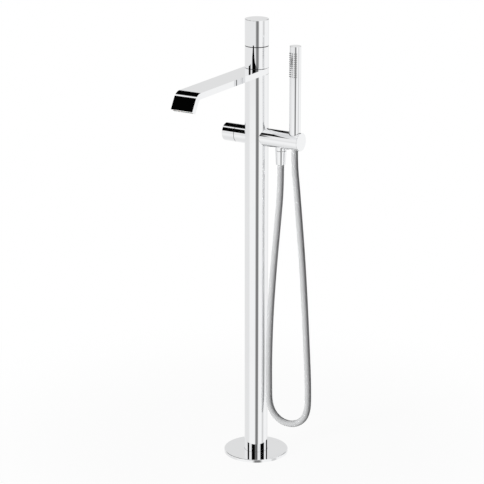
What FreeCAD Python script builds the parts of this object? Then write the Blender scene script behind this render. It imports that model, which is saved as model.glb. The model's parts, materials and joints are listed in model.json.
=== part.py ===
import FreeCAD, Part
import math
import os

# Floor standing bath filler: a round column on a floor flange, a flat swivelling spout below
# the control knob, and a cross arm with a diverter knob, a hose outlet and a stick handset.
# Millimetres. The column stands on the origin, +Z is up, the spout points along -Y, and the
# arm lies along X with its diverter knob at -X and the handset at +X.

os.makedirs("parts", exist_ok=True)
Vec = FreeCAD.Vector
UP = Vec(0, 0, 1)
ACROSS = Vec(1, 0, 0)
BACK = Vec(0, 1, 0)

# Clearances, radial unless the name says otherwise
slip_gap = 0.1       # pieces that slide together once and stay
run_gap = 0.08       # shafts and rings that turn in one another
free_gap = 0.3       # moving pieces that pass each other
seat_gap = 0.2       # a lifted piece above its ledge, axial
axial_play = 0.1     # the spout between its slide rings, axial
close_gap = 0.05     # screws and collars in their holes
seal_gap = 0.03      # seals against what they close on

# Floor fixing
plate_thickness = 4.0
plate_gap = 5.4              # from the plate's rim to the cover's wall
bolt_circle = 96.0
bolt_hole = 7.0
bolt_head = 12.6
bolt_count = 4
bolt_turn = 45.0             # first bolt from the arm's direction
stub_height = 34.0
stub_wall = 2.4
flange_diameter = 138.0
flange_height = 6.0
flange_wall = 1.6
flange_edge = 1.2
seal_width = 1.5
seal_rebate = 0.7            # depth of the seal's rebate in the cover

# Column
column_diameter = 50.0
column_wall = 1.5
spout_level = 841.5          # underside of the spout ring above the floor
slide_ring_thickness = 0.5
slide_ring_inset = 0.4

# Supply and inner pipes
pipe_diameter = 8.0
pipe_wall = 1.0
pipe_socket = 8.0
port_radius = 7.5            # G3/8 supply thread
port_depth = 14.0
inlet_bottom = 7.2           # supply ports above the floor
inlet_height = 27.0
circlip_thickness = 1.5
circlip_width = 4.2
circlip_split = 2.4
circlip_groove = 0.8
passage = 2.7                # radius of the drilled waterways
pipe_seal_height = 1.4
pipe_seal_width = 0.65

# Spout
spout_thickness = 12.5
spout_straight = 256.5       # column axis to the start of the bend
spout_bend_radius = 22.0     # upper face
spout_bend_angle = 60.0
spout_tip = 24.4
spout_wall = 2.2
spout_side_wall = 2.5
swivel_limit = 60.0
stop_pin_diameter = 3.0
stop_pin_length = 8.0
stop_pin_edge = 0.5          # metal outside the pin's hole
stop_slot_depth = 3.0
ring_groove_height = 5.0
ring_groove_depth = 1.4
outlet_recess = 1.5
outlet_length = 7.0
outlet_slot = 2.6
outlet_slot_pitch = 4.0
outlet_rim = 1.0

# Valve under the knob
neck_inset = 6.5             # neck's radius below the column's
neck_relief = 1.0            # thread's radius below the neck's
neck_skin = 0.35             # thread to the pipe seals
head_height = 26.0
neck_seal_height = 1.4
neck_seal_depth = 1.2
chamber_floor = 7.4          # metal between the neck and the cartridge
cartridge_seat = 2.5         # ledge between the chamber and its mouth
cartridge_length = 18.0
cartridge_neck_radius = 12.0
cartridge_neck_length = 6.0
mouth_wall = 3.5
mouth_depth = 8.0
retainer_height = 9.0
retainer_notch = 3.0
retainer_notches = 6
spindle_radius = 4.0
spindle_reach = 19.0         # spindle above the knob's lower edge
sleeve_length = 44.5
knob_length = 54.5
knob_gap = 1.8
knob_wall = 2.5
knob_top = 4.0
knob_edge = 0.8
adapter_radius = 9.0
adapter_height = 17.0
adapter_spline = 0.7         # how far a spline stands out
adapter_spline_width = 1.1
adapter_splines = 16
knob_boss_radius = 12.5
glide_inset = 0.8
glide_width = 3.6
grub_radius = 2.4
grub_length = 6.0
grub_key = 2.5
knob_grub_height = 11.0      # above the knob's lower edge

# Cross arm
arm_level = 708.0
arm_diameter = 38.0
arm_wall = 2.0
arm_web = 3.0                # end wall of each arm tube, clamped on the manifold
flat_wall = 0.8              # between the manifold's flats and its pipe ways
bolt_start = 6.0             # hollow bolt's inner end from the column axis
arm_length = 105.5           # to the seam of the end cap
handset_inset = 14.0         # handset's axis from that seam
outlet_spacing = 33.0        # hose outlet's axis from the handset's
arm_cap = 1.5
bore_radius = 5.2
manifold_margin = 0.5

# Diverter
diverter_split = 44.5
diverter_gap = 1.0
diverter_knob_length = 28.5
diverter_nose = 4.0          # how far the cartridge reaches past the column axis
diverter_hex = 22.0
diverter_body_length = 14.0
diverter_end_wall = 3.5
diverter_boss_radius = 9.0
diverter_spindle_reach = 16.0
diverter_flat = 1.0
diverter_grub_offset = 10.0

# Hose outlet
block_length = 22.0
spigot_radius = 9.9          # G1/2 thread
spigot_length = 40.0         # below the arm's axis
collar_radius = 11.7
collar_drop = 22.8           # lower edge below the arm's axis
groove = 1.0
nipple_hex = 20.0
nipple_head = 8.0
valve_length = 18.0
valve_bore = 3.0

# Hose
hose_diameter = 14.0
nut_length = 30.2
nut_top_radius = 11.7
nut_bottom_radius = 10.2
nut_edge = 0.6
washer_thickness = 1.8
washer_bore = 5.0
tail_flange_radius = 9.0
tail_flange = 2.0
tail_bore = 4.5

# Handset and its holder
handset_diameter = 24.0
handset_top = 908.4
handset_wall = 1.2
handset_cap = 2.4
handset_cap_plug = 4.0
handset_edge = 0.5
liner_thickness = 0.65
liner_ledge = 1.7
liner_ledge_bore = 9.0
liner_half_height = 13.6
handset_nut_length = 19.0
handset_nut_taper = 1.0
inlet_grip = 15.0
thread_reach = 12.0
water_tube_radius = 5.0
water_tube_wall = 1.0
spray_top = 12.4             # below the handset's top
spray_rows = 12
spray_pitch = 4.35
spray_columns = 5
spray_column_angle = 20.0
spray_half_angle = 49.0
spray_thickness = 1.2
nozzle_radius = 1.0
nozzle_tip = 0.65
nozzle_height = 1.3
carrier_margin = 6.0

# Hose route between the two nuts, chosen by eye from the way it hangs. The ends follow the nuts.
hose_middle = [
    (53.6, -2.5, 530.0), (45.4, -5.0, 430.0), (38.9, -6.5, 330.0), (35.9, -7.0, 235.0),
    (36.0, -7.0, 165.0), (37.4, -7.0, 110.5), (64.8, -6.6, 83.0), (103.6, -6.0, 83.0),
    (131.0, -5.5, 110.5), (131.8, -5.2, 172.0), (126.8, -5.0, 265.0), (120.6, -4.6, 365.0),
    (113.4, -4.0, 460.0), (103.8, -2.8, 555.0), (96.8, -1.2, 617.0),
]
hose_first_run = 54.0
hose_last_run = 39.0
hose_corner_share = 0.45
hose_least_radius = 3.0      # in diameters


# Sizes that follow from the ones above
plate_radius = flange_diameter / 2 - flange_wall - plate_gap
column_radius = column_diameter / 2
column_bore = column_radius - column_wall
column_top = spout_level - slide_ring_thickness
spout_top = spout_level + spout_thickness
sleeve_bottom = spout_top + axial_play + slide_ring_thickness
sleeve_top = sleeve_bottom + sleeve_length
knob_bottom = sleeve_top + knob_gap
neck_radius = column_radius - neck_inset
neck_thread_radius = neck_radius - neck_relief
mouth_radius = column_bore - mouth_wall
cartridge_radius = mouth_radius - cartridge_seat
pipe_radius = pipe_diameter / 2
pipe_seal_radius = pipe_radius + pipe_seal_width + slip_gap
pipe_offset = neck_thread_radius - neck_skin - pipe_seal_radius
arm_radius = arm_diameter / 2
arm_bore = arm_radius - arm_wall
arm_flat = pipe_offset + passage + flat_wall
stub_radius = column_bore - slip_gap
stub_bore = stub_radius - stub_wall
inlet_top = inlet_bottom + inlet_height
port_opening = pipe_offset + port_radius + slip_gap
neck_bottom = column_top - head_height + seat_gap
chamber_bottom = sleeve_bottom + chamber_floor
cartridge_top = chamber_bottom + cartridge_length
chamber_top = cartridge_top + mouth_depth
manifold_half = arm_radius + manifold_margin + pipe_socket
manifold_top = arm_level + manifold_half
handset_offset = arm_length - handset_inset
outlet_offset = handset_offset - outlet_spacing
handset_radius = handset_diameter / 2
holder_bore = handset_radius + free_gap
liner_radius = holder_bore + liner_thickness
hose_radius = hose_diameter / 2
nut_top = arm_level - collar_drop - groove
nut_bottom = nut_top - nut_length
liner_bottom = arm_level - liner_half_height
handset_nut_bottom = liner_bottom + liner_ledge + seat_gap
handset_bottom = handset_nut_bottom + handset_nut_length + seat_gap
spray_strip_top = handset_top - spray_top
spray_length = spray_rows * spray_pitch
spray_strip_bottom = spray_strip_top - spray_length
supply_points = [(0, -pipe_offset), (0, pipe_offset)]
inner_points = [(-pipe_offset, 0), (pipe_offset, 0)]


def turned(profile):
    """Solid of revolution about Z from closed (radius, height) corners."""
    corners = [Vec(radius, 0, height) for radius, height in profile]
    face = Part.Face(Part.makePolygon(corners + corners[:1]))
    return face.revolve(Vec(0, 0, 0), UP, 360)


def rod(radius, low, high, x=0.0, y=0.0):
    """Upright cylinder between two heights."""
    return Part.makeCylinder(radius, high - low, Vec(x, y, low))


def tube(outer, inner, low, high, x=0.0, y=0.0):
    return rod(outer, low, high, x, y).cut(rod(inner, low, high, x, y))


def cross_rod(radius, left, right, height=arm_level):
    """Cylinder along X between two places."""
    return Part.makeCylinder(radius, right - left, Vec(left, 0, height), ACROSS)


def along_arm(shape):
    """Lay a piece that was turned about Z along the arm: its +Z becomes +X."""
    laid = shape.copy()
    laid.rotate(Vec(0, 0, 0), BACK, 90)
    laid.translate(Vec(0, 0, arm_level))
    return laid


def hexagon(across_flats, low, high):
    """Upright hexagonal prism on the Z axis."""
    corner = across_flats / math.sqrt(3)
    corners = [Vec(corner * math.cos(math.radians(60 * i)), corner * math.sin(math.radians(60 * i)), low)
               for i in range(7)]
    return Part.Face(Part.makePolygon(corners)).extrude(Vec(0, 0, high - low))


def circle_edges(shape, radius, height):
    """Round edges of one radius at one height about the Z axis."""
    found = []
    for edge in shape.Edges:
        curve = edge.Curve
        if isinstance(curve, Part.Circle) and abs(curve.Radius - radius) < 1e-6:
            if abs(curve.Center.z - height) < 1e-6:
                found.append(edge)
    return found


def pie(radius, half_angle, low, high):
    """Sector of a cylinder about Z, centred on -Y."""
    start = -90 - half_angle
    sector = Part.makeCylinder(radius, high - low, Vec(0, 0, low), UP, 2 * half_angle)
    sector.rotate(Vec(0, 0, 0), UP, start)
    return sector


def make_base_plate():
    """Round steel floor plate with countersunk bolt holes and the seat of the stub."""
    body = rod(plate_radius, 0, plate_thickness).cut(rod(stub_radius + close_gap, 0, plate_thickness))
    head_depth = (bolt_head - bolt_hole) / 2
    for i in range(bolt_count):
        angle = math.radians(bolt_turn + 360 * i / bolt_count)
        x = bolt_circle / 2 * math.cos(angle)
        y = bolt_circle / 2 * math.sin(angle)
        sink = Part.makeCone(bolt_hole / 2, bolt_head / 2, head_depth, Vec(x, y, plate_thickness - head_depth))
        body = body.cut(rod(bolt_hole / 2, 0, plate_thickness, x, y).fuse(sink))
    return body


def make_column_stub():
    """Turned stub welded into the plate: the column slides over it and the inlet block stands in it."""
    top = plate_thickness + stub_height
    body = turned([
        (port_opening, 0), (stub_radius, 0), (stub_radius, top), (stub_bore, top),
        (stub_bore, inlet_bottom), (port_opening, inlet_bottom),
    ])
    groove_low = inlet_top + slip_gap - close_gap
    groove_high = inlet_top + slip_gap + circlip_thickness + close_gap
    body = body.cut(rod(stub_bore + circlip_groove, groove_low, groove_high))
    return body.cut(lock_screw_hole(grub_radius + close_gap))


def make_flange_cover():
    """Thin turned cover over the plate, with a rebate for the seal at the column."""
    outer = flange_diameter / 2
    inner = column_radius + free_gap
    ceiling = flange_height - flange_wall
    seal_edge = inner + seal_width
    rebate = ceiling + seal_rebate
    cover = turned([
        (inner, flange_height), (outer, flange_height), (outer, 0), (outer - flange_wall, 0),
        (outer - flange_wall, ceiling), (seal_edge, ceiling), (seal_edge, rebate), (inner, rebate),
    ])
    return cover.makeFillet(flange_edge, circle_edges(cover, outer, flange_height))


def make_flange_seal():
    inner = column_radius + close_gap
    outer = column_radius + free_gap + seal_width - slip_gap
    top = flange_height - flange_wall + seal_rebate - slip_gap
    return tube(outer, inner, plate_thickness, top)


def make_column_tube():
    body = tube(column_radius, column_bore, plate_thickness, column_top)
    body = body.cut(cross_rod(arm_radius + slip_gap, -column_radius, column_radius))
    return body.cut(lock_screw_hole(grub_radius + slip_gap))


def lock_screw_level():
    return plate_thickness + stub_height / 2


def lock_screw_hole(radius):
    """Hole from inside the stub out through the back of the column."""
    return Part.makeCylinder(radius, 2 * column_radius, Vec(0, stub_bore / 2, lock_screw_level()), BACK)


def make_column_lock_screw():
    """Grub screw through the back of the column into the stub."""
    start = stub_bore + 2 * slip_gap
    length = column_radius - slip_gap - start
    screw = Part.makeCylinder(grub_radius, length, Vec(0, start, lock_screw_level()), BACK)
    return screw.cut(hex_key(Vec(0, start + length, lock_screw_level()), BACK))


def hex_key(mouth, direction):
    """Key socket in the outer end of a grub screw."""
    socket = hexagon(grub_key, -grub_key, grub_key)
    socket.Placement = FreeCAD.Placement(mouth, FreeCAD.Rotation(UP, direction))
    return socket


def make_inlet_block():
    """Brass block in the stub: two supply ports from below, two pipe sockets above."""
    block = rod(stub_bore - slip_gap, inlet_bottom, inlet_top)
    for x, y in supply_points:
        port = rod(port_radius, inlet_bottom, inlet_bottom + port_depth, x, y)
        way = rod(passage, inlet_bottom + port_depth, inlet_top - pipe_socket, x, y)
        block = block.cut(port.fuse(way)).cut(pipe_seat(inlet_top, -1, x, y))
    return block


def pipe_seat(mouth, inward, x, y):
    """Socket for a pipe's end with a counterbore for its seal; inward is +1 for up, -1 for down."""
    bottom = mouth + inward * pipe_socket
    step = mouth + inward * (pipe_seal_height + slip_gap)
    seat = rod(pipe_radius + slip_gap, min(mouth, bottom), max(mouth, bottom), x, y)
    return seat.fuse(rod(pipe_seal_radius, min(mouth, step), max(mouth, step), x, y))


def make_pipe(low, high, x, y):
    """Straight pipe pushed into a socket at each end, clear of the bottoms by the slip gap."""
    low_end = low - pipe_socket + slip_gap
    high_end = high + pipe_socket - slip_gap
    return tube(pipe_radius, pipe_radius - pipe_wall, low_end, high_end, x, y)


def make_pipe_seals():
    """One lip seal in the mouth of each pipe socket."""
    mouths = [(inlet_top, -1, supply_points), (manifold_top, -1, inner_points),
              (neck_bottom, 1, supply_points + inner_points)]
    seals = []
    for mouth, inward, points in mouths:
        inner_end = mouth + inward * pipe_seal_height
        for x, y in points:
            seals.append(tube(pipe_radius + pipe_seal_width, pipe_radius + seal_gap,
                              min(mouth, inner_end), max(mouth, inner_end), x, y))
    return Part.makeCompound(seals)


def make_inlet_circlip():
    """Split ring above the inlet block, in the stub's groove."""
    low = inlet_top + slip_gap
    outer = stub_bore + circlip_groove - close_gap
    ring = tube(outer, outer - circlip_width, low, low + circlip_thickness)
    split = Part.makeBox(outer, circlip_split, circlip_thickness, Vec(0, -circlip_split / 2, low))
    return ring.cut(split)


def make_manifold():
    """Brass body inside the column at the arm: flats for the arm tubes, a cross bore and the pipe ways."""
    low = arm_level - manifold_half
    body = rod(column_bore - slip_gap, low, manifold_top)
    side = column_radius
    flat_height = arm_diameter + 2 * manifold_margin
    flat_bottom = arm_level - flat_height / 2
    for left in (-arm_flat - side, arm_flat):
        body = body.cut(Part.makeBox(side, 2 * side, flat_height, Vec(left, -side, flat_bottom)))
    body = body.cut(cross_rod(bore_radius + slip_gap, -arm_flat, arm_flat))
    for x, y in supply_points:
        body = body.cut(rod(pipe_radius + slip_gap, low, manifold_top, x, y))
    for x, y in inner_points:
        body = body.cut(rod(passage, arm_level, manifold_top, x, y)).cut(pipe_seat(manifold_top, -1, x, y))
    return body


def make_left_sleeve():
    """Short arm tube between the column and the diverter knob."""
    body = turned([
        (bore_radius + slip_gap, -arm_flat), (arm_radius, -arm_flat), (arm_radius, -diverter_split),
        (arm_bore, -diverter_split), (arm_bore, -arm_flat - arm_web),
        (bore_radius + slip_gap, -arm_flat - arm_web),
    ])
    return along_arm(body)


def make_diverter_cartridge():
    """Cartridge whose hollow nose lies in the manifold's bore and whose hexagon clamps the sleeve."""
    inner_face = -arm_flat - arm_web
    outer_face = inner_face - diverter_body_length
    nose = rod(bore_radius, inner_face, diverter_nose)
    body = hexagon(diverter_hex, outer_face, inner_face).fuse(nose)
    body = body.cut(rod(spindle_radius + run_gap, outer_face, diverter_nose))
    laid = along_arm(body)
    return laid.cut(rod(passage, arm_level, arm_level + bore_radius + slip_gap, -pipe_offset))


def make_diverter_spindle():
    """Spindle with a flat for the knob's grub screw."""
    tip = -(diverter_split + diverter_gap + diverter_spindle_reach)
    body = rod(spindle_radius, tip, -arm_flat)
    flat_length = diverter_spindle_reach - diverter_gap
    side = 2 * spindle_radius
    cut = Part.makeBox(side, side, flat_length, Vec(spindle_radius - diverter_flat, -spindle_radius, tip))
    return along_arm(body.cut(cut))


def make_diverter_knob():
    """Hollow knob on the arm's left end."""
    near = -(diverter_split + diverter_gap)
    far = near - diverter_knob_length
    wall = far + diverter_end_wall
    socket = near - diverter_spindle_reach - slip_gap
    body = turned([
        (0, far), (arm_radius, far), (arm_radius, near), (arm_radius - knob_wall, near),
        (arm_radius - knob_wall, wall), (diverter_boss_radius, wall), (diverter_boss_radius, near - knob_wall),
        (spindle_radius + close_gap, near - knob_wall), (spindle_radius + close_gap, socket), (0, socket),
    ])
    body = body.makeFillet(knob_edge, circle_edges(body, arm_radius, far))
    place = near - diverter_grub_offset
    hole = Part.makeCylinder(grub_radius + close_gap, arm_radius, Vec(spindle_radius / 2, 0, place), ACROSS)
    return along_arm(body.cut(hole))


def make_diverter_screw():
    """Grub screw under the diverter knob, bearing on the spindle's flat."""
    x = -(diverter_split + diverter_gap + diverter_grub_offset)
    start = spindle_radius - diverter_flat + close_gap
    down = Vec(0, 0, -1)
    screw = Part.makeCylinder(grub_radius, grub_length, Vec(x, 0, arm_level - start), down)
    return screw.cut(hex_key(Vec(x, 0, arm_level - start - grub_length), down))


def make_arm_glide_ring():
    """Dark ring that closes the groove between the sleeve and the diverter knob."""
    inner = arm_bore - glide_width
    seat = -diverter_split + 2 * glide_width
    flange = -diverter_split - diverter_gap + free_gap
    body = turned([
        (inner, seat), (arm_bore - slip_gap, seat), (arm_bore - slip_gap, -diverter_split),
        (arm_radius - glide_inset, -diverter_split), (arm_radius - glide_inset, flange), (inner, flange),
    ])
    return along_arm(body)


def make_right_arm():
    """Arm tube with the hose outlet below and the upright hole for the handset near its end."""
    body = along_arm(turned([
        (bore_radius + slip_gap, arm_flat), (arm_radius, arm_flat), (arm_radius, arm_length),
        (arm_bore, arm_length), (arm_bore, arm_flat + arm_web), (bore_radius + slip_gap, arm_flat + arm_web),
    ]))
    holder = rod(liner_radius + slip_gap, arm_level - arm_radius, arm_level + arm_radius, handset_offset)
    outlet = rod(spigot_radius + slip_gap, arm_level - arm_radius, arm_level, outlet_offset)
    return body.cut(holder).cut(outlet)


def make_holder_end():
    """Plug and flat end cap in one piece, bored upright for the handset's liner."""
    plug_start = handset_offset - liner_radius - arm_wall
    body = along_arm(turned([
        (0, plug_start), (arm_bore - slip_gap, plug_start), (arm_bore - slip_gap, arm_length),
        (arm_radius, arm_length), (arm_radius, arm_length + arm_cap), (0, arm_length + arm_cap),
    ]))
    bore = rod(liner_radius + slip_gap, arm_level - arm_radius, arm_level + arm_radius, handset_offset)
    return body.cut(bore)


def make_holder_liner():
    """Plastic liner of the handset's hole with a ledge that the nut stands on."""
    low = arm_level - liner_half_height
    high = arm_level + liner_half_height
    liner = turned([
        (liner_ledge_bore, low), (liner_radius, low), (liner_radius, high),
        (holder_bore, high), (holder_bore, low + liner_ledge), (liner_ledge_bore, low + liner_ledge),
    ])
    liner.translate(Vec(handset_offset, 0, 0))
    return liner


def make_arm_bolt():
    """Hollow hexagon bolt that clamps the arm tube on the manifold and carries the shower pipe."""
    seat = arm_flat + arm_web
    body = hexagon(nipple_hex, seat, seat + nipple_head).fuse(rod(bore_radius, bolt_start, seat))
    body = body.cut(rod(passage, bolt_start, seat + nipple_head))
    body = body.cut(rod(pipe_radius + slip_gap, seat + nipple_head - pipe_socket / 2, seat + nipple_head))
    return along_arm(body)


def make_shower_pipe():
    """Pipe inside the arm from the hollow bolt to the outlet block."""
    start = arm_flat + arm_web + nipple_head - pipe_socket / 2 + slip_gap
    end = outlet_offset - block_length / 2 + pipe_socket / 2 - slip_gap
    return along_arm(tube(pipe_radius, pipe_radius - pipe_wall, start, end))


def make_outlet_block():
    """Block inside the arm that turns the water down into the threaded spigot."""
    left = outlet_offset - block_length / 2
    block = cross_rod(arm_bore - slip_gap, left, left + block_length)
    spigot = rod(spigot_radius, arm_level - spigot_length, arm_level, outlet_offset)
    body = block.fuse(spigot)
    body = body.cut(rod(bore_radius, arm_level - spigot_length, arm_level, outlet_offset))
    body = body.cut(cross_rod(pipe_radius + slip_gap, left, left + pipe_socket / 2))
    return body.cut(cross_rod(passage, left, outlet_offset)).removeSplitter()


def make_outlet_collar():
    """Shroud round the spigot, coped to the underside of the arm."""
    low = arm_level - collar_drop
    collar = tube(collar_radius, spigot_radius + slip_gap, low, arm_level, outlet_offset)
    return collar.cut(cross_rod(arm_radius + close_gap, 0, 2 * outlet_offset))


def make_check_valve():
    """Backflow valve pushed up into the spigot."""
    low = arm_level - spigot_length + slip_gap
    body = turned([
        (valve_bore, low), (bore_radius - slip_gap, low), (bore_radius - slip_gap, low + valve_length),
        (valve_bore / 2, low + valve_length), (valve_bore / 2, low + valve_length - valve_bore),
        (valve_bore, low + valve_length - 2 * valve_bore),
    ])
    body.translate(Vec(outlet_offset, 0, 0))
    return body


def make_union_nut(x, top, length, upper_radius, lower_radius, thread_gap, thread_depth):
    """Tapered nut with a threaded bore above and the hose tail's seat below."""
    low = top - length
    bore = spigot_radius + thread_gap
    seat = top - thread_depth - washer_thickness
    floor = seat - tail_flange
    flange_bore = tail_flange_radius + run_gap
    nut = turned([
        (hose_radius + run_gap, low), (lower_radius - nut_edge, low), (lower_radius, low + nut_edge),
        (upper_radius, top - nut_edge), (upper_radius - nut_edge, top),
        (bore, top), (bore, seat), (flange_bore, seat), (flange_bore, floor), (hose_radius + run_gap, floor),
    ])
    nut.translate(Vec(x, 0, 0))
    return nut


def make_washer(x, top):
    return tube(spigot_radius - slip_gap, washer_bore, top - washer_thickness, top, x)


def make_hose_tail(x, flange_top, end):
    """Crimped end of the hose: a flange under the washer and a stem out of the nut."""
    tail = turned([
        (tail_bore, end), (hose_radius, end), (hose_radius, flange_top - tail_flange),
        (tail_flange_radius, flange_top - tail_flange), (tail_flange_radius, flange_top),
        (tail_bore, flange_top),
    ])
    tail.translate(Vec(x, 0, 0))
    return tail


def hose_path(points):
    """Straight runs joined by tangent arcs, each arc as large as its two runs allow."""
    edges = []
    radii = []
    start = points[0]
    for before, corner, after in zip(points, points[1:], points[2:]):
        back = before - corner
        ahead = after - corner
        half_turn = (math.pi - back.getAngle(ahead)) / 2
        reach = hose_corner_share * min(back.Length, ahead.Length)
        radius = reach / math.tan(half_turn)
        back.normalize()
        ahead.normalize()
        tangent_in = corner + back * reach
        tangent_out = corner + ahead * reach
        middle = corner + (back + ahead).normalize() * (radius / math.cos(half_turn) - radius)
        edges.append(Part.LineSegment(start, tangent_in).toShape())
        edges.append(Part.Arc(tangent_in, middle, tangent_out).toShape())
        radii.append(radius)
        start = tangent_out
    edges.append(Part.LineSegment(start, points[-1]).toShape())
    return Part.Wire(edges), radii


def make_shower_hose():
    """Smooth hose hanging in one loop from the outlet nut to the handset."""
    first = Vec(outlet_offset, 0, nut_bottom)
    last = Vec(handset_offset, 0, handset_nut_bottom)
    points = [first, first - UP * hose_first_run] + [Vec(*place) for place in hose_middle]
    points += [last - UP * hose_last_run, last]
    path, radii = hose_path(points)
    section = Part.Face(Part.Wire(Part.makeCircle(hose_radius, first, UP)))
    hose = path.makePipe(section)
    if hose.Volume < 0:
        hose.reverse()
    expected = math.pi * hose_radius ** 2 * path.Length
    print("hose length %.1f, volume over section times length %.4f" % (path.Length, hose.Volume / expected))
    print("hose radii " + " ".join("%.0f" % radius for radius in radii))
    print("least radius wanted %.0f, least found %.1f" % (hose_least_radius * hose_diameter, min(radii)))
    return hose


def make_handset_inlet():
    """Threaded nipple in the handset's lower end."""
    bottom = handset_bottom - thread_reach
    nipple = turned([
        (water_tube_radius - water_tube_wall, bottom), (spigot_radius, bottom), (spigot_radius, handset_bottom),
        (handset_radius - handset_wall - slip_gap, handset_bottom),
        (handset_radius - handset_wall - slip_gap, handset_bottom + inlet_grip),
        (water_tube_radius + slip_gap, handset_bottom + inlet_grip),
        (water_tube_radius + slip_gap, handset_bottom + inlet_grip / 2),
        (water_tube_radius - water_tube_wall, handset_bottom + inlet_grip / 2),
    ])
    nipple.translate(Vec(handset_offset, 0, 0))
    return nipple


def make_handset_body():
    """Chrome tube of the handset with the window of its spray strip."""
    top = handset_top - handset_cap
    body = tube(handset_radius, handset_radius - handset_wall, handset_bottom, top)
    window = pie(handset_radius + handset_wall, spray_half_angle, spray_strip_bottom, spray_strip_top)
    body = body.cut(window)
    body.translate(Vec(handset_offset, 0, 0))
    return body


def make_handset_cap():
    seam = handset_top - handset_cap
    plug = handset_radius - handset_wall - slip_gap
    cap = turned([
        (0, seam - handset_cap_plug), (plug, seam - handset_cap_plug), (plug, seam),
        (handset_radius, seam), (handset_radius, handset_top), (0, handset_top),
    ])
    cap = cap.makeFillet(handset_edge, circle_edges(cap, handset_radius, handset_top))
    cap.translate(Vec(handset_offset, 0, 0))
    return cap


def make_spray_strip():
    """Soft strip in the window with rows of small nozzles."""
    low = spray_strip_bottom + slip_gap
    high = spray_strip_top - slip_gap
    edge_angle = spray_half_angle - math.degrees(slip_gap / handset_radius)
    strip = pie(handset_radius, edge_angle, low, high)
    strip = strip.cut(rod(handset_radius - spray_thickness, low, high))
    nozzles = []
    for row in range(spray_rows):
        height = spray_strip_bottom + spray_pitch * (row + 0.5)
        for column in range(spray_columns):
            turn = spray_column_angle * (column - (spray_columns - 1) / 2)
            root = handset_radius - spray_thickness / 2
            nozzle = Part.makeCone(nozzle_radius, nozzle_tip, nozzle_height + spray_thickness / 2,
                                   Vec(0, -root, height), Vec(0, -1, 0))
            nozzle.rotate(Vec(0, 0, 0), UP, turn)
            nozzles.append(nozzle)
    strip = strip.multiFuse(nozzles)
    strip.translate(Vec(handset_offset, 0, 0))
    return strip


def make_spray_carrier():
    """Inner body behind the strip that spreads the water to the nozzles."""
    radius = handset_radius - max(handset_wall, spray_thickness) - slip_gap
    low = spray_strip_bottom - carrier_margin
    high = handset_top - handset_cap - handset_cap_plug
    body = turned([
        (water_tube_radius + slip_gap, low), (radius, low), (radius, high), (0, high),
        (0, high - carrier_margin / 2), (water_tube_radius + slip_gap, high - carrier_margin / 2),
    ])
    body.translate(Vec(handset_offset, 0, 0))
    return body


def make_water_tube():
    """Plastic tube from the nipple up to the spray carrier."""
    low = handset_bottom + inlet_grip / 2 + slip_gap
    high = spray_strip_bottom
    return tube(water_tube_radius, water_tube_radius - water_tube_wall, low, high, handset_offset)


def make_slide_ring(low):
    """Thin ring that the spout turns on."""
    return tube(column_radius - slide_ring_inset, neck_radius + free_gap, low, low + slide_ring_thickness)


def stop_pin_place():
    return column_bore - slip_gap - stop_pin_edge - stop_pin_diameter / 2


def make_lower_slide_ring():
    ring = make_slide_ring(column_top)
    return ring.cut(rod(stop_pin_diameter / 2 + slip_gap, column_top, spout_level, 0, stop_pin_place()))


def make_stop_pin():
    """Pin in the column head that limits the spout's swivel."""
    top = spout_level + stop_slot_depth - free_gap
    return rod(stop_pin_diameter / 2, top - stop_pin_length, top, 0, stop_pin_place())


def make_column_head():
    """Threaded ring fixed in the column's top end."""
    head = tube(column_bore - slip_gap, neck_thread_radius + slip_gap, column_top - head_height, column_top)
    pin_hole = rod(stop_pin_diameter / 2 + seal_gap,
                   spout_level + stop_slot_depth - free_gap - stop_pin_length - slip_gap, column_top,
                   0, stop_pin_place())
    return head.cut(pin_hole)


def seal_levels():
    """Lower edge of the two seals on the neck, one at each end of the spout ring."""
    margin = neck_seal_height
    return [spout_level + margin, spout_top - margin - neck_seal_height]


def make_valve_body():
    """Brass valve body: threaded stem, neck for the spout ring and the cartridge chamber."""
    body = turned([
        (0, neck_bottom), (neck_thread_radius, neck_bottom), (neck_thread_radius, column_top),
        (neck_radius, column_top), (neck_radius, sleeve_bottom),
        (column_bore - slip_gap, sleeve_bottom), (column_bore - slip_gap, chamber_top),
        (mouth_radius, chamber_top), (mouth_radius, cartridge_top),
        (cartridge_radius + slip_gap, cartridge_top), (cartridge_radius + slip_gap, chamber_bottom),
        (0, chamber_bottom),
    ])
    groove_bottom = neck_radius - neck_seal_depth
    for low in seal_levels():
        body = body.cut(tube(neck_radius + neck_seal_depth, groove_bottom, low, low + neck_seal_height))
    middle = (spout_level + spout_top) / 2
    for x, y in supply_points + inner_points[:1]:
        body = body.cut(rod(passage, neck_bottom, chamber_bottom, x, y)).cut(pipe_seat(neck_bottom, 1, x, y))
    x, y = inner_points[1]
    body = body.cut(rod(passage, neck_bottom, middle, x, y)).cut(pipe_seat(neck_bottom, 1, x, y))
    outlet = Part.makeCylinder(passage - slip_gap, neck_radius, Vec(x, 0, middle), ACROSS)
    return body.cut(outlet)


def make_spout_seals():
    outer = neck_radius + run_gap - seal_gap
    rings = [tube(outer, neck_radius - neck_seal_depth, low, low + neck_seal_height)
             for low in seal_levels()]
    return Part.makeCompound(rings)


def make_mixer_cartridge():
    """Mixing cartridge with its three ports below and the bore of the spindle."""
    neck_top = cartridge_top + cartridge_neck_length
    bore_end = chamber_bottom + cartridge_length / 2
    body = turned([
        (0, chamber_bottom), (cartridge_radius, chamber_bottom), (cartridge_radius, cartridge_top),
        (cartridge_neck_radius, cartridge_top), (cartridge_neck_radius, neck_top),
        (spindle_radius + run_gap, neck_top), (spindle_radius + run_gap, bore_end), (0, bore_end),
    ])
    for x, y in supply_points + inner_points[:1]:
        body = body.cut(rod(passage, chamber_bottom, chamber_bottom + 2 * passage, x, y))
    return body


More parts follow.
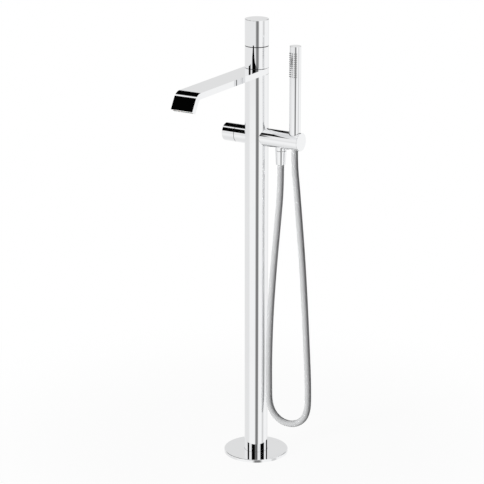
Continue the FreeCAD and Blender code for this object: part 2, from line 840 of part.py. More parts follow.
def make_cartridge_retainer():
    """Notched ring nut in the chamber's mouth."""
    ring = tube(mouth_radius - slip_gap, cartridge_neck_radius + slip_gap,
                cartridge_top, cartridge_top + retainer_height)
    depth = retainer_height - mouth_depth + retainer_notch
    for i in range(retainer_notches):
        notch = Part.makeBox(mouth_radius, retainer_notch, depth,
                             Vec(mouth_radius - retainer_notch, -retainer_notch / 2,
                                 cartridge_top + retainer_height - depth))
        notch.rotate(Vec(0, 0, 0), UP, 360 * i / retainer_notches)
        ring = ring.cut(notch)
    return ring


def make_mixer_spindle():
    low = chamber_bottom + cartridge_length / 2 + run_gap
    return rod(spindle_radius, low, knob_bottom + spindle_reach)


def splined(radius, low, high):
    """Rod with even splines standing out of it."""
    core = rod(radius, low, high)
    for i in range(adapter_splines):
        angle = 360 * i / adapter_splines
        rib = Part.makeBox(2 * adapter_spline, adapter_spline_width, high - low,
                           Vec(radius - adapter_spline, -adapter_spline_width / 2, low))
        rib.rotate(Vec(0, 0, 0), UP, angle)
        core = core.fuse(rib)
    return core.removeSplitter()


def make_spline_adapter():
    """Plastic adapter between the spindle and the knob."""
    high = knob_bottom + spindle_reach
    body = splined(adapter_radius, high - adapter_height, high)
    return body.cut(rod(spindle_radius + close_gap, high - adapter_height, high))


def make_glide_ring():
    """Dark ring in the gap between the sleeve and the knob."""
    inner = mouth_radius + slip_gap
    flange = knob_bottom - free_gap
    return turned([
        (inner, chamber_top), (column_bore - slip_gap, chamber_top), (column_bore - slip_gap, sleeve_top),
        (column_radius - glide_inset, sleeve_top), (column_radius - glide_inset, flange), (inner, flange),
    ])


def make_upper_sleeve():
    return tube(column_radius, column_bore, sleeve_bottom, sleeve_top)


def make_control_knob():
    """Hollow knob the size of the column, with a boss on the adapter."""
    top = knob_bottom + knob_length
    ceiling = top - knob_top
    boss_bottom = knob_bottom + spindle_reach - adapter_height
    socket_top = knob_bottom + spindle_reach + slip_gap
    socket_radius = adapter_radius + adapter_spline + slip_gap
    body = turned([
        (0, top), (column_radius, top), (column_radius, knob_bottom), (column_radius - knob_wall, knob_bottom),
        (column_radius - knob_wall, ceiling), (knob_boss_radius, ceiling), (knob_boss_radius, boss_bottom),
        (socket_radius, boss_bottom), (socket_radius, socket_top), (0, socket_top),
    ])
    body = body.makeFillet(knob_edge, circle_edges(body, column_radius, top))
    place = knob_bottom + knob_grub_height
    hole = Part.makeCylinder(grub_radius + close_gap, column_radius, Vec(0, adapter_radius, place), BACK)
    return body.cut(hole)


def make_knob_screw():
    """Grub screw at the back of the knob."""
    place = knob_bottom + knob_grub_height
    start = adapter_radius + adapter_spline + slip_gap
    screw = Part.makeCylinder(grub_radius, grub_length, Vec(0, start, place), BACK)
    return screw.cut(hex_key(Vec(0, start + grub_length, place), BACK))


def blade(width, thickness, drop, start):
    """Flat bar along -Y that bends down at its end; drop is how far below the spout's top it lies."""
    angle = math.radians(spout_bend_angle)
    centre = Vec(0, -spout_straight, spout_top - spout_bend_radius)

    def on_bend(radius, turn):
        return centre + Vec(0, -radius * math.sin(turn), radius * math.cos(turn))

    outer = spout_bend_radius - drop
    inner = outer - thickness
    along = Vec(0, -math.cos(angle), -math.sin(angle)) * spout_tip
    outer_end = on_bend(outer, angle)
    inner_end = on_bend(inner, angle)
    outer_start = Vec(0, start, centre.z + outer)
    inner_start = Vec(0, start, centre.z + inner)
    edges = [
        Part.LineSegment(outer_start, on_bend(outer, 0)).toShape(),
        Part.Arc(on_bend(outer, 0), on_bend(outer, angle / 2), outer_end).toShape(),
        Part.LineSegment(outer_end, outer_end + along).toShape(),
        Part.LineSegment(outer_end + along, inner_end + along).toShape(),
        Part.LineSegment(inner_end + along, inner_end).toShape(),
        Part.Arc(inner_end, on_bend(inner, angle / 2), on_bend(inner, 0)).toShape(),
        Part.LineSegment(on_bend(inner, 0), inner_start).toShape(),
        Part.LineSegment(inner_start, outer_start).toShape(),
    ]
    outline = Part.Face(Part.Wire(edges))
    outline.translate(Vec(-width / 2, 0, 0))
    return outline.extrude(Vec(width, 0, 0))


def make_spout():
    """Blade and ring in one piece with the waterway inside and the slot of the stop pin below."""
    body = rod(column_radius, spout_level, spout_top).fuse(blade(column_diameter, spout_thickness, 0, 0))
    body = body.removeSplitter()
    body = body.cut(rod(neck_radius + run_gap, spout_level, spout_top))
    middle = (spout_level + spout_top) / 2
    groove_low = middle - ring_groove_height / 2
    body = body.cut(rod(neck_radius + ring_groove_depth, groove_low, groove_low + ring_groove_height))
    channel_start = -column_radius
    channel = blade(column_diameter - 2 * spout_side_wall, spout_thickness - 2 * spout_wall, spout_wall,
                    channel_start)
    duct = Part.makeBox(neck_radius, column_radius, ring_groove_height,
                        Vec(-neck_radius / 2, channel_start, groove_low))
    body = body.cut(channel).cut(duct)
    return body.cut(stop_slot())


def stop_slot():
    """Curved slot in the ring's underside, long enough for the swivel and the pin."""
    middle = stop_pin_place()
    half_width = stop_pin_diameter / 2 + free_gap
    half_angle = swivel_limit + math.degrees(half_width / middle)
    high = spout_level + stop_slot_depth
    sector = pie(middle + half_width, half_angle, spout_level, high)
    sector = sector.cut(rod(middle - half_width, spout_level, high))
    sector.rotate(Vec(0, 0, 0), UP, 180)
    return sector


def make_spout_outlet():
    """Flow straightener just inside the spout's mouth, with a row of slots."""
    width = column_diameter - 2 * spout_side_wall - 2 * slip_gap
    thickness = spout_thickness - 2 * spout_wall - 2 * slip_gap
    slot_height = thickness - 2 * outlet_rim
    slot_count = int((width - 2 * outlet_rim + outlet_slot_pitch - outlet_slot) / outlet_slot_pitch)
    body = Part.makeBox(width, outlet_length, thickness, Vec(-width / 2, 0, -thickness / 2))
    for i in range(slot_count):
        x = outlet_slot_pitch * (i - (slot_count - 1) / 2)
        corner = Vec(x - outlet_slot / 2, 0, -slot_height / 2)
        slot = Part.makeBox(outlet_slot, outlet_length, slot_height, corner)
        body = body.cut(slot)
    angle = math.radians(spout_bend_angle)
    middle = spout_bend_radius - spout_thickness / 2
    reach = spout_tip - outlet_recess
    place = Vec(0, -spout_straight - middle * math.sin(angle) - reach * math.cos(angle),
                spout_top - spout_bend_radius + middle * math.cos(angle) - reach * math.sin(angle))
    body.Placement = FreeCAD.Placement(place, FreeCAD.Rotation(ACROSS, spout_bend_angle))
    return body


pieces = {
    "base_plate": make_base_plate(),
    "column_stub": make_column_stub(),
    "flange_cover": make_flange_cover(),
    "flange_seal": make_flange_seal(),
    "column_tube": make_column_tube(),
    "column_lock_screw": make_column_lock_screw(),
    "inlet_block": make_inlet_block(),
    "inlet_circlip": make_inlet_circlip(),
    "cold_pipe": make_pipe(inlet_top, neck_bottom, *supply_points[0]),
    "hot_pipe": make_pipe(inlet_top, neck_bottom, *supply_points[1]),
    "mixed_water_pipe": make_pipe(manifold_top, neck_bottom, *inner_points[0]),
    "spout_pipe": make_pipe(manifold_top, neck_bottom, *inner_points[1]),
    "pipe_seals": make_pipe_seals(),
    "manifold": make_manifold(),
    "left_arm_sleeve": make_left_sleeve(),
    "diverter_cartridge": make_diverter_cartridge(),
    "diverter_spindle": make_diverter_spindle(),
    "diverter_knob": make_diverter_knob(),
    "diverter_knob_screw": make_diverter_screw(),
    "arm_glide_ring": make_arm_glide_ring(),
    "right_arm": make_right_arm(),
    "holder_end": make_holder_end(),
    "holder_liner": make_holder_liner(),
    "arm_bolt": make_arm_bolt(),
    "shower_pipe": make_shower_pipe(),
    "outlet_block": make_outlet_block(),
    "outlet_collar": make_outlet_collar(),
    "check_valve": make_check_valve(),
    "hose_nut": make_union_nut(outlet_offset, nut_top, nut_length, nut_top_radius, nut_bottom_radius,
                               slip_gap, spigot_length - collar_drop - groove),
    "hose_washer": make_washer(outlet_offset, arm_level - spigot_length),
    "lower_hose_tail": make_hose_tail(outlet_offset, arm_level - spigot_length - washer_thickness, nut_bottom),
    "shower_hose": make_shower_hose(),
    "upper_hose_tail": make_hose_tail(handset_offset, handset_bottom - thread_reach - washer_thickness,
                                      handset_nut_bottom),
    "handset_washer": make_washer(handset_offset, handset_bottom - thread_reach),
    "handset_nut": make_union_nut(handset_offset, handset_nut_bottom + handset_nut_length, handset_nut_length,
                                  handset_radius, handset_radius - handset_nut_taper, slip_gap,
                                  thread_reach - seat_gap),
    "handset_inlet": make_handset_inlet(),
    "handset_body": make_handset_body(),
    "handset_cap": make_handset_cap(),
    "spray_strip": make_spray_strip(),
    "spray_carrier": make_spray_carrier(),
    "handset_water_tube": make_water_tube(),
    "column_head": make_column_head(),
    "swivel_stop_pin": make_stop_pin(),
    "lower_slide_ring": make_lower_slide_ring(),
    "upper_slide_ring": make_slide_ring(spout_top + axial_play),
    "spout": make_spout(),
    "spout_outlet": make_spout_outlet(),
    "valve_body": make_valve_body(),
    "spout_seals": make_spout_seals(),
    "mixer_cartridge": make_mixer_cartridge(),
    "cartridge_retainer": make_cartridge_retainer(),
    "mixer_spindle": make_mixer_spindle(),
    "spline_adapter": make_spline_adapter(),
    "knob_glide_ring": make_glide_ring(),
    "upper_sleeve": make_upper_sleeve(),
    "control_knob": make_control_knob(),
    "knob_screw": make_knob_screw(),
}

for name, shape in pieces.items():
    if not shape.isValid() or shape.Volume <= 0:
        print("check " + name)
    shape.exportStep("parts/" + name + ".step")
print("%d pieces" % len(pieces))
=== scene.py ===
import json
import math
import bmesh
import bpy
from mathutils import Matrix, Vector


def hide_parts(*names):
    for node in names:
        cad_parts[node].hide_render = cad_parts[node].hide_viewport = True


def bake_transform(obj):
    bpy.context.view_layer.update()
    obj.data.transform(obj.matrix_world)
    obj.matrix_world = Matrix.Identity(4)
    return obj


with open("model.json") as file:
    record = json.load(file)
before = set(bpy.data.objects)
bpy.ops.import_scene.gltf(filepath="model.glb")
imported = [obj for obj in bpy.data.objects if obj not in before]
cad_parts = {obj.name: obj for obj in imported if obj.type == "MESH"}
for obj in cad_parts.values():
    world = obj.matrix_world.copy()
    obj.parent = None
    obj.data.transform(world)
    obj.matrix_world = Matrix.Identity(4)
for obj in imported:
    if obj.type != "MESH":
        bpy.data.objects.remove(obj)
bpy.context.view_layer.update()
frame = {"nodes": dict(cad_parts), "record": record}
nodes = frame["nodes"]
print("frame loaded,", len(nodes), "pieces")


def putInScene(name, data):
    thing = bpy.data.objects.new(name, data)
    bpy.context.scene.collection.objects.link(thing)
    return thing


def aimAt(thing, target):
    towards = Vector(target) - thing.location
    thing.rotation_euler = towards.to_track_quat("-Z", "Y").to_euler()


# camera at the photograph's angle; the azimuth turns from -Y towards +X, in degrees
photoView = {
    "lens": 160.0,
    "azimuth": 31.17,
    "elevation": 17.37,
    "distance": 4.550,
    "aim": (-0.0261, -0.0158, 0.4757),
    "nearest": 0.1,
    "farthest": 60.0,
}


def makeCamera():
    turn = math.radians(photoView["azimuth"])
    lift = math.radians(photoView["elevation"])
    back = Vector((math.sin(turn) * math.cos(lift), -math.cos(turn) * math.cos(lift), math.sin(lift)))
    data = bpy.data.cameras.new("photoCamera")
    data.lens = photoView["lens"]
    data.clip_start = photoView["nearest"]
    data.clip_end = photoView["farthest"]
    camera = putInScene("photoCamera", data)
    camera.location = Vector(photoView["aim"]) + back * photoView["distance"]
    aimAt(camera, photoView["aim"])
    bpy.context.scene.camera = camera


makeCamera()
print("camera placed")


# shower hose: control points from the outlet's nut, down round the loop and up to the handset
showerHose = {
    "diameter": 0.014,
    "length": 1.241,
    "roundness": 8,         # gives 2 * 8 + 4 = 20 faces round the hose
    "steps": 16,            # from one control point to the next
    "order": 3,
    "route": [
        (0.0585, 0.0, 0.6540), (0.0585, 0.0, 0.6000), (0.0536, -0.0025, 0.5300), (0.0454, -0.0050, 0.4300),
        (0.0389, -0.0065, 0.3300), (0.0359, -0.0070, 0.2350), (0.0360, -0.0070, 0.1650),
        (0.0374, -0.0070, 0.1105), (0.0648, -0.0066, 0.0830), (0.1036, -0.0060, 0.0830),
        (0.1310, -0.0055, 0.1105), (0.1318, -0.0052, 0.1720), (0.1268, -0.0050, 0.2650),
        (0.1206, -0.0046, 0.3650), (0.1134, -0.0040, 0.4600), (0.1038, -0.0028, 0.5550),
        (0.0968, -0.0012, 0.6170), (0.0915, 0.0, 0.6573), (0.0915, 0.0, 0.6963),
    ],
    "stretchStart": (0.0655, 0.0, 0.6540),      # a point by the hose's end at the column
    "stretchEnd": (0.0902, 0.0, 0.6577),        # a point by the hose's end at the handset
}


def hoseMesh(radius):
    curve = bpy.data.curves.new("hoseRoute", "CURVE")
    curve.dimensions = "3D"
    curve.resolution_u = showerHose["steps"]
    curve.bevel_depth = radius
    curve.bevel_resolution = showerHose["roundness"]
    curve.use_fill_caps = radius > 0
    spline = curve.splines.new("NURBS")
    spline.points.add(len(showerHose["route"]) - 1)
    for place, point in zip(showerHose["route"], spline.points):
        point.co = (*place, 1)
    spline.order_u = showerHose["order"]
    spline.use_endpoint_u = True
    return bpy.data.meshes.new_from_object(bpy.data.objects.new("hoseRoute", curve))


def makeHose():
    path = [tuple(vertex.co) for vertex in hoseMesh(0).vertices]
    hose = putInScene("hoseSkin", hoseMesh(showerHose["diameter"] / 2))
    for face in hose.data.polygons:
        face.use_smooth = len(face.vertices) == 4       # the end caps stay flat
    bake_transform(hose)
    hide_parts("shower_hose")
    return hose


hoseSkin = makeHose()
print("hose hung")


class Wire:
    # a value in a node tree, so that shader maths reads as Python
    def __init__(self, bench, socket):
        self.bench = bench
        self.socket = socket

    def __add__(self, other):
        return self.bench.maths("ADD", self, other)

    def __radd__(self, other):
        return self.bench.maths("ADD", other, self)

    def __sub__(self, other):
        return self.bench.maths("SUBTRACT", self, other)

    def __rsub__(self, other):
        return self.bench.maths("SUBTRACT", other, self)

    def __mul__(self, other):
        return self.bench.maths("MULTIPLY", self, other)

    def __rmul__(self, other):
        return self.bench.maths("MULTIPLY", other, self)

    def __truediv__(self, other):
        return self.bench.maths("DIVIDE", self, other)

    def __rtruediv__(self, other):
        return self.bench.maths("DIVIDE", other, self)

    def __pow__(self, other):
        return self.bench.maths("POWER", self, other)

    def __rpow__(self, other):
        return self.bench.maths("POWER", other, self)

    def __neg__(self):
        return self.bench.maths("MULTIPLY", self, -1.0)

    def __abs__(self):
        return self.bench.maths("ABSOLUTE", self)


class Bench:
    # one node tree while it is being wired
    def __init__(self, tree):
        self.tree = tree
        tree.nodes.clear()

    def add(self, kind, settings=None, inputs=None, output=0):
        # output is the socket to go on from, or a tuple of several
        node = self.tree.nodes.new(kind)
        for name, value in (settings or {}).items():
            setattr(node, name, value)
        for key, value in (inputs or {}).items():
            if isinstance(value, Wire):
                self.tree.links.new(value.socket, node.inputs[key])
            else:
                node.inputs[key].default_value = value
        if isinstance(output, tuple):
            return [Wire(self, node.outputs[name]) for name in output]
        return Wire(self, node.outputs[output]) if len(node.outputs) else node

    def maths(self, operation, *values):
        return self.add("ShaderNodeMath", {"operation": operation}, dict(enumerate(values)))

    def place(self):
        return self.add("ShaderNodeTexCoord", output="Object")

    def stretched(self, scale):
        return self.add("ShaderNodeMapping", None, {"Vector": self.place(), "Scale": scale})

    def parts(self, vector):
        return self.add("ShaderNodeSeparateXYZ", None, {0: vector}, ("X", "Y", "Z"))

    def fromUpright(self, x):
        # distance from an upright line through y = 0
        placeX, placeY, _ = self.parts(self.place())
        return self.maths("SQRT", (placeX - x) ** 2 + placeY ** 2)

    def between(self, value, low, high, start=0.0, end=1.0):
        settings = {"interpolation_type": "SMOOTHSTEP"}
        return self.add("ShaderNodeMapRange", settings, {0: value, 1: low, 2: high, 3: start, 4: end})

    def window(self, value, low, high, soft):
        # 1 from low to high, with soft edges
        rise = self.between(value, low - soft, low + soft)
        return rise * self.between(value, high - soft, high + soft, 1, 0)

    def noise(self, vector, scale, detail, roughness):
        values = {"Vector": vector, "Scale": scale, "Detail": detail, "Roughness": roughness}
        return self.add("ShaderNodeTexNoise", None, values)

    def mixColour(self, factor, first, second):
        return self.add("ShaderNodeMix", {"data_type": "RGBA"}, {0: factor, 6: first, 7: second}, 2)

    def bump(self, height, distance, strength=1.0):
        values = {"Strength": strength, "Distance": distance, "Height": height}
        return self.add("ShaderNodeBump", None, values)

    def seenDirectly(self):
        # 1 for what the camera sees, also in a mirror or through glass
        camera, glossy, through = self.add("ShaderNodeLightPath", None, None,
                                           ("Is Camera Ray", "Is Glossy Ray", "Is Transmission Ray"))
        return self.maths("MINIMUM", camera + glossy + through, 1.0)

    def mixShader(self, factor, first, second):
        return self.add("ShaderNodeMixShader", None, {0: factor, 1: first, 2: second})

    def skin(self, values):
        self.finish(self.add("ShaderNodeBsdfPrincipled", None, values))

    def finish(self, shader, kind="ShaderNodeOutputMaterial"):
        self.add(kind, None, {0: shader})


def startMaterial(name):
    material = bpy.data.materials.new(name)
    material.use_nodes = True
    return material, Bench(material.node_tree)


def grey(level):
    return (level, level, level, 1)


# in every finish a noise is given as scale, detail and roughness, and a tint is its share in the colour
chromePlate = {
    "bright": (0.905, 0.910, 0.918, 1),
    "shade": (0.875, 0.882, 0.892, 1),
    "roughness": 0.018,
    "smear": (22.0, 3.0, 0.6),
    "smearRange": (0.5, 0.78),
    "smearTint": 0.6,
    "smearRoughness": 0.035,
    "film": (160.0, 2.0, 0.5),
    "filmTint": 0.2,
    "wave": (60.0, 1.0, 0.5),
    "waveHeight": 0.0000015,
    "seamPlace": 0.1055,        # where the end cap meets the arm
    "seamWidth": 0.0005,
    "seam": (0.50, 0.50, 0.50, 1),
}


def makeChromePlate():
    material, bench = startMaterial("chromePlate")
    smear = bench.between(bench.noise(bench.place(), *chromePlate["smear"]), *chromePlate["smearRange"])
    film = bench.noise(bench.place(), *chromePlate["film"])
    tint = smear * chromePlate["smearTint"] + film * chromePlate["filmTint"]
    colour = bench.mixColour(tint, chromePlate["bright"], chromePlate["shade"])
    alongArm = bench.parts(bench.place())[0]
    seam = bench.between(abs(alongArm - chromePlate["seamPlace"]), 0, chromePlate["seamWidth"], 1, 0)
    wave = bench.noise(bench.place(), *chromePlate["wave"])
    bench.skin({
        "Base Color": bench.mixColour(seam, colour, chromePlate["seam"]),
        "Metallic": 1.0,
        "Roughness": chromePlate["roughness"] + smear * chromePlate["smearRoughness"],
        "Normal": bench.bump(wave, chromePlate["waveHeight"]),
    })
    return material


turnedBrass = {
    "bright": (0.83, 0.66, 0.36, 1),
    "dull": (0.66, 0.49, 0.24, 1),
    "roughness": 0.24,
    "stain": (40.0, 4.0, 0.6),
    "stainRange": (0.4, 0.7),
    "stainTint": 0.7,
    "stainRoughness": 0.14,
    "ringStretch": (2.0, 2.0, 900.0),
    "rings": (1.0, 2.0, 0.5),
    "ringTint": 0.2,
    "cutDepth": 0.00003,
    "cutStrength": 0.4,
    "nickel": (0.60, 0.60, 0.59, 1),
    "spigotAxis": 0.0585,       # the hose's spigot is nickel plated
    "spigotRadius": 0.0102,
    "platingEdge": 0.0002,
}


def makeTurnedBrass():
    material, bench = startMaterial("turnedBrass")
    stain = bench.between(bench.noise(bench.place(), *turnedBrass["stain"]), *turnedBrass["stainRange"])
    rings = bench.noise(bench.stretched(turnedBrass["ringStretch"]), *turnedBrass["rings"])
    tint = stain * turnedBrass["stainTint"] + rings * turnedBrass["ringTint"]
    brass = bench.mixColour(tint, turnedBrass["bright"], turnedBrass["dull"])
    fromSpigot = bench.fromUpright(turnedBrass["spigotAxis"])
    edge = turnedBrass["spigotRadius"]
    plated = bench.between(fromSpigot, edge, edge + turnedBrass["platingEdge"], 1, 0)
    bench.skin({
        "Base Color": bench.mixColour(plated, brass, turnedBrass["nickel"]),
        "Metallic": 1.0,
        "Roughness": turnedBrass["roughness"] + stain * turnedBrass["stainRoughness"],
        "Normal": bench.bump(rings, turnedBrass["cutDepth"], turnedBrass["cutStrength"]),
    })
    return material


plainSteel = {
    "bright": (0.66, 0.67, 0.68, 1),
    "dull": (0.48, 0.49, 0.50, 1),
    "roughness": 0.3,
    "brushStretch": (700.0, 18.0, 18.0),
    "brush": (1.0, 3.0, 0.6),
    "brushTint": 0.5,
    "brushRoughness": 0.12,
    "brushDepth": 0.00002,
    "brushStrength": 0.5,
    "cloud": (28.0, 3.0, 0.5),
    "cloudTint": 0.4,
}


def makePlainSteel():
    material, bench = startMaterial("plainSteel")
    brush = bench.noise(bench.stretched(plainSteel["brushStretch"]), *plainSteel["brush"])
    cloud = bench.noise(bench.place(), *plainSteel["cloud"])
    tint = brush * plainSteel["brushTint"] + cloud * plainSteel["cloudTint"]
    bench.skin({
        "Base Color": bench.mixColour(tint, plainSteel["bright"], plainSteel["dull"]),
        "Metallic": 1.0,
        "Roughness": plainSteel["roughness"] + brush * plainSteel["brushRoughness"],
        "Normal": bench.bump(brush, plainSteel["brushDepth"], plainSteel["brushStrength"]),
    })
    return material


sealRubber = {
    "black": (0.012, 0.012, 0.013, 1),
    "worn": (0.035, 0.034, 0.033, 1),
    "roughness": 0.55,
    "bloom": (120.0, 4.0, 0.6),
    "bloomRange": (0.45, 0.75),
    "bloomRoughness": 0.2,
    "grain": (1400.0, 2.0, 0.5),
    "grainDepth": 0.00002,
    "grainStrength": 0.5,
}


def makeSealRubber():
    material, bench = startMaterial("sealRubber")
    bloom = bench.between(bench.noise(bench.place(), *sealRubber["bloom"]), *sealRubber["bloomRange"])
    grain = bench.noise(bench.place(), *sealRubber["grain"])
    bench.skin({
        "Base Color": bench.mixColour(bloom, sealRubber["black"], sealRubber["worn"]),
        "Roughness": sealRubber["roughness"] + bloom * sealRubber["bloomRoughness"],
        "Normal": bench.bump(grain, sealRubber["grainDepth"], sealRubber["grainStrength"]),
    })
    return material


# bright skin of the spray strip with nozzles standing out of it; the nozzles are painted near-black as
# painted shade for their shadowed sides
nozzleSilicone = {
    "skin": (0.86, 0.865, 0.87, 1),
    "nozzle": (0.055, 0.055, 0.06, 1),
    "handsetAxis": 0.0915,
    "skinRadius": 0.01205,
    "skinEdge": 0.0001,
    "roughness": 0.06,
    "nozzleRoughness": 0.36,
    "cloud": (220.0, 3.0, 0.6),
    "cloudRoughness": 0.06,
    "grain": (900.0, 2.0, 0.5),
    "grainDepth": 0.000004,
    "grainStrength": 0.3,
}


def makeNozzleSilicone():
    material, bench = startMaterial("nozzleSilicone")
    cloud = bench.noise(bench.place(), *nozzleSilicone["cloud"])
    grain = bench.noise(bench.place(), *nozzleSilicone["grain"])
    fromAxis = bench.fromUpright(nozzleSilicone["handsetAxis"])
    edge = nozzleSilicone["skinRadius"]
    # raised marks the nozzles: it carries their painted shade and also their real change in metallic and
    # roughness
    raised = bench.between(fromAxis, edge, edge + nozzleSilicone["skinEdge"])
    rough = raised * nozzleSilicone["nozzleRoughness"] + cloud * nozzleSilicone["cloudRoughness"]
    bench.skin({
        # the raised nozzles get the near-black colour, a painted shade for their shadowed sides
        "Base Color": bench.mixColour(raised, nozzleSilicone["skin"], nozzleSilicone["nozzle"]),
        "Metallic": 1 - raised,
        "Roughness": nozzleSilicone["roughness"] + rough,
        "Normal": bench.bump(grain, nozzleSilicone["grainDepth"], nozzleSilicone["grainStrength"]),
    })
    return material


blackPlastic = {
    "base": (0.010, 0.010, 0.011, 1),
    "pale": (0.024, 0.024, 0.026, 1),
    "roughness": 0.42,
    "cloud": (90.0, 3.0, 0.5),
    "grain": (1100.0, 3.0, 0.6),
    "grainRoughness": 0.12,
    "grainDepth": 0.00001,
    "grainStrength": 0.4,
}


def makeBlackPlastic():
    material, bench = startMaterial("blackPlastic")
    cloud = bench.noise(bench.place(), *blackPlastic["cloud"])
    grain = bench.noise(bench.place(), *blackPlastic["grain"])
    bench.skin({
        "Base Color": bench.mixColour(cloud, blackPlastic["base"], blackPlastic["pale"]),
        "Roughness": blackPlastic["roughness"] + grain * blackPlastic["grainRoughness"],
        "Normal": bench.bump(grain, blackPlastic["grainDepth"], blackPlastic["grainStrength"]),
    })
    return material


bearingPlastic = {
    "base": (0.70, 0.70, 0.67, 1),
    "warm": (0.62, 0.61, 0.57, 1),
    "roughness": 0.4,
    "flowStretch": (90.0, 90.0, 20.0),
    "flow": (1.0, 3.0, 0.5),
    "flowRoughness": 0.15,
    "depth": 0.1,               # how much light goes in, and how far
    "reach": 0.002,
    "grain": (1200.0, 2.0, 0.5),
    "grainDepth": 0.00001,
    "grainStrength": 0.3,
}


def makeBearingPlastic():
    material, bench = startMaterial("bearingPlastic")
    flow = bench.noise(bench.stretched(bearingPlastic["flowStretch"]), *bearingPlastic["flow"])
    grain = bench.noise(bench.place(), *bearingPlastic["grain"])
    bench.skin({
        "Base Color": bench.mixColour(flow, bearingPlastic["base"], bearingPlastic["warm"]),
        "Roughness": bearingPlastic["roughness"] + flow * bearingPlastic["flowRoughness"],
        "Subsurface Weight": bearingPlastic["depth"],
        "Subsurface Scale": bearingPlastic["reach"],
        "Normal": bench.bump(grain, bearingPlastic["grainDepth"], bearingPlastic["grainStrength"]),
    })
    return material


# matt silver plastic of the hose
silverSkin = {
    "bright": (0.55, 0.555, 0.56, 1),
    "shade": (0.49, 0.495, 0.50, 1),
    "specular": 0.2,
    "roughness": 0.46,
    "flowStretch": (260.0, 260.0, 14.0),
    "flow": (1.0, 3.0, 0.6),
    "flowTint": 0.7,
    "flowRoughness": 0.1,
    "flowDepth": 0.00001,
    "flowStrength": 0.3,
    "fleck": (2600.0, 1.0, 0.5),
    "fleckTint": 0.2,
}


def makeSilverSkin():
    material, bench = startMaterial("silverSkin")
    fleck = bench.noise(bench.place(), *silverSkin["fleck"])
    flow = bench.noise(bench.stretched(silverSkin["flowStretch"]), *silverSkin["flow"])
    tint = flow * silverSkin["flowTint"] + fleck * silverSkin["fleckTint"]
    bench.skin({
        "Base Color": bench.mixColour(tint, silverSkin["bright"], silverSkin["shade"]),
        "Specular IOR Level": silverSkin["specular"],
        "Roughness": silverSkin["roughness"] + flow * silverSkin["flowRoughness"],
        "Normal": bench.bump(flow, silverSkin["flowDepth"], silverSkin["flowStrength"]),
    })
    return material


finishes = {
    "polished_chrome": makeChromePlate(),
    "brass_inside": makeTurnedBrass(),
    "plain_steel": makePlainSteel(),
    "black_rubber": makeSealRubber(),
    "nozzle_silicone": makeNozzleSilicone(),
    "dark_plastic": makeBlackPlastic(),
    "light_plastic": makeBearingPlastic(),
    "hose_skin": makeSilverSkin(),
}


def dress(thing, finish):
    thing.data.materials.clear()
    thing.data.materials.append(finishes[finish])


for part in frame["record"]["subparts"]:
    dress(nodes[part["node"]], part["material_slot"])
dress(hoseSkin, "hose_skin")
print("finishes made:", len(finishes))


# light tent: a sphere that only mirrors see, turned so that 0 degrees round is the camera's side
lightTent = {
    "radius": 4.0,
    "middle": 0.5,
    "facets": (96, 48),
    "level": 0.98,
    # each flag: middle and half width round the tent, bottom and top above its middle, level, soft edge;
    # all but the level are in degrees
    "flags": {
        "backFill": (180, 50, -89, 12, 0.90, 14),
        "leftFill": (-108, 36, -89, 12, 0.84, 12),
        "leftHigh": (-70, 62, -9, 12, 0.86, 4),
        "lensFlag": (5.0, 13.5, -89, 10, 0.22, 6.5),
        "sideFlag": (68, 10, -89, 4, 0.70, 5),
        "rightFloor": (112, 62, -89, -36, 0.05, 5),
        "topsCard": (180, 24, 4, 22, 0.79, 3),
        "backGrey": (-160, 54, 22, 72, 0.72, 2),
        "backLine": (-176, 50, 22, 28, 0.04, 1.5),
        "frontLow": (-83, 11, 12, 17, 0.001, 0.2),
        "frontLeft": (-72.5, 11.5, 17, 54, 0.001, 0.2),
        "frontBlack": (-28, 19, 12, 49, 0.001, 2),
        "frontGrey": (3, 12, 12, 49, 0.15, 2),
        "rightBlack": (66, 22, 12, 17.05, 0.001, 0.2),
        "rearBlack": (131, 19, 12, 49, 0.001, 2),
    },
    # cards stand on one side of the plane x = edge + slope z. Each card: side, edge, slope,
    # start and end round the tent, bottom and top above its middle, level
    "cards": {
        "leftBlack": (-1, -1.88, 0.03, -215, -109, 22, 88, 0.001),
        "bendGrey": (-1, -1.88, 0.03, -109, -103, 22, 88, 0.22),
        "armWhite": (1, -1.89, 0.0, -100, -45, 8, 34, 0.93),
    },
    "cardSoft": 1.5,        # degrees
    "planeSoft": 0.02,      # metres
}


def makeTent():
    mesh = bpy.data.meshes.new("lightTent")
    shell = bmesh.new()
    around, up = lightTent["facets"]
    bmesh.ops.create_uvsphere(shell, u_segments=around, v_segments=up, radius=lightTent["radius"])
    shell.to_mesh(mesh)
    shell.free()
    tent = putInScene("lightTent", mesh)
    tent.location.z = lightTent["middle"]
    tent.rotation_euler.z = math.radians(photoView["azimuth"])
    mesh.materials.append(makeTentCloth())
    for ray in ("camera", "diffuse", "transmission", "volume_scatter", "shadow"):
        setattr(tent, "visible_" + ray, False)


def makeTentCloth():
    material, bench = startMaterial("tentCloth")
    degrees = 180 / math.pi
    x, y, z = bench.parts(bench.place())
    around = bench.maths("ARCTAN2", x, -y) * degrees
    above = bench.maths("ARCSINE", z / lightTent["radius"]) * degrees
    level = lightTent["level"]
    for middle, half, bottom, top, shade, soft in lightTent["flags"].values():
        away = abs(bench.maths("WRAP", around - middle, 180.0, -180.0))
        inside = bench.between(away, half - soft, half + soft, 1, 0)
        inside = inside * bench.window(above, bottom, top, soft)
        level = level + inside * (shade - level)
    worldX, _, worldZ = bench.parts(bench.add("ShaderNodeNewGeometry", output="Position"))
    planeSoft, cardSoft = lightTent["planeSoft"], lightTent["cardSoft"]
    for side, edge, slope, start, end, bottom, top, shade in lightTent["cards"].values():
        inside = bench.between((worldX - worldZ * slope - edge) * side, -planeSoft, planeSoft)
        inside = inside * bench.window(around, start, end, cardSoft)
        inside = inside * bench.window(above, bottom, top, cardSoft)
        level = level + inside * (shade - level)
    dark = bench.add("ShaderNodeEmission", None, {"Strength": 0.0})
    white = bench.add("ShaderNodeEmission", None, {"Strength": 1.0})
    bench.finish(bench.mixShader(level, dark, white))
    return material


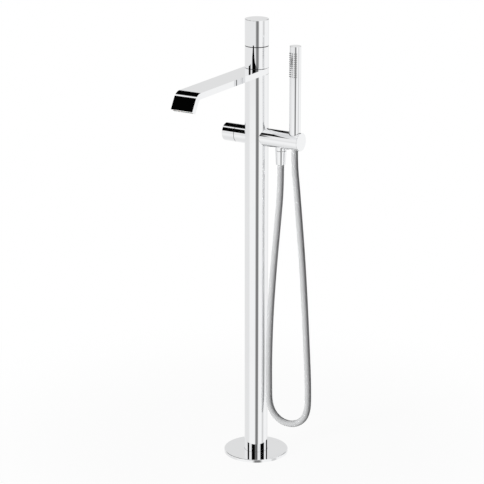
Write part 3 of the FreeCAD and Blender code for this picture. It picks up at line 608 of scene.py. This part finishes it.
# pale floor that takes the shadow near the object and turns white further out
floorDisc = {
    "radius": 9.0,
    "height": -0.0002,
    "facets": 96,
    "colour": 0.95,
    "glow": 0.945,          # share of plain white near the object
    "fadeFrom": 0.25,
    "fadeTo": 0.9,
}


def makeFloor():
    mesh = bpy.data.meshes.new("studioFloor")
    disc = bmesh.new()
    bmesh.ops.create_circle(disc, cap_ends=True, segments=floorDisc["facets"], radius=floorDisc["radius"])
    disc.to_mesh(mesh)
    disc.free()
    floor = putInScene("studioFloor", mesh)
    floor.location.z = floorDisc["height"]
    material, bench = startMaterial("paleFloor")
    away = bench.add("ShaderNodeVectorMath", {"operation": "LENGTH"}, {0: bench.place()}, "Value")
    lit = bench.add("ShaderNodeBsdfDiffuse", None, {"Color": grey(floorDisc["colour"])})
    white = bench.add("ShaderNodeEmission", None, {"Strength": 1.0})
    fade = bench.between(away, floorDisc["fadeFrom"], floorDisc["fadeTo"], floorDisc["glow"], 1.0)
    bench.finish(bench.mixShader(fade * bench.seenDirectly(), lit, white))
    mesh.materials.append(material)
    floor.visible_glossy = False


studioLight = {
    "sky": 0.04,            # what soft surfaces see; the camera sees plain white
    "lamps": {
        "sideLamp": {"size": 1.6, "power": 520.0, "place": (-2.8, -6.35, 0.9), "aim": (0, 0, 0.4)},
        "backLamp": {"size": 1.6, "power": 260.0, "place": (-3.6, 6.0, 0.9), "aim": (0, 0, 0.4)},
        "topLamp": {"size": 3.0, "power": 42.0, "place": (-0.3, -0.6, 5.0), "aim": (0, 0, 0)},
    },
}


def makeLight():
    world = bpy.data.worlds.new("studio")
    world.use_nodes = True
    bpy.context.scene.world = world
    bench = Bench(world.node_tree)
    soft = bench.add("ShaderNodeBackground", None, {"Color": grey(1.0), "Strength": studioLight["sky"]})
    white = bench.add("ShaderNodeBackground", None, {"Color": grey(1.0), "Strength": 1.0})
    bench.finish(bench.mixShader(bench.seenDirectly(), soft, white), "ShaderNodeOutputWorld")
    for name, settings in studioLight["lamps"].items():
        data = bpy.data.lights.new(name, "AREA")
        data.shape = "DISK"
        data.size = settings["size"]
        data.energy = settings["power"]
        lamp = putInScene(name, data)
        lamp.location = settings["place"]
        aimAt(lamp, settings["aim"])
        lamp.visible_glossy = False


makeTent()
makeFloor()
makeLight()
bpy.context.scene.view_settings.view_transform = "Standard"
print("studio lit")
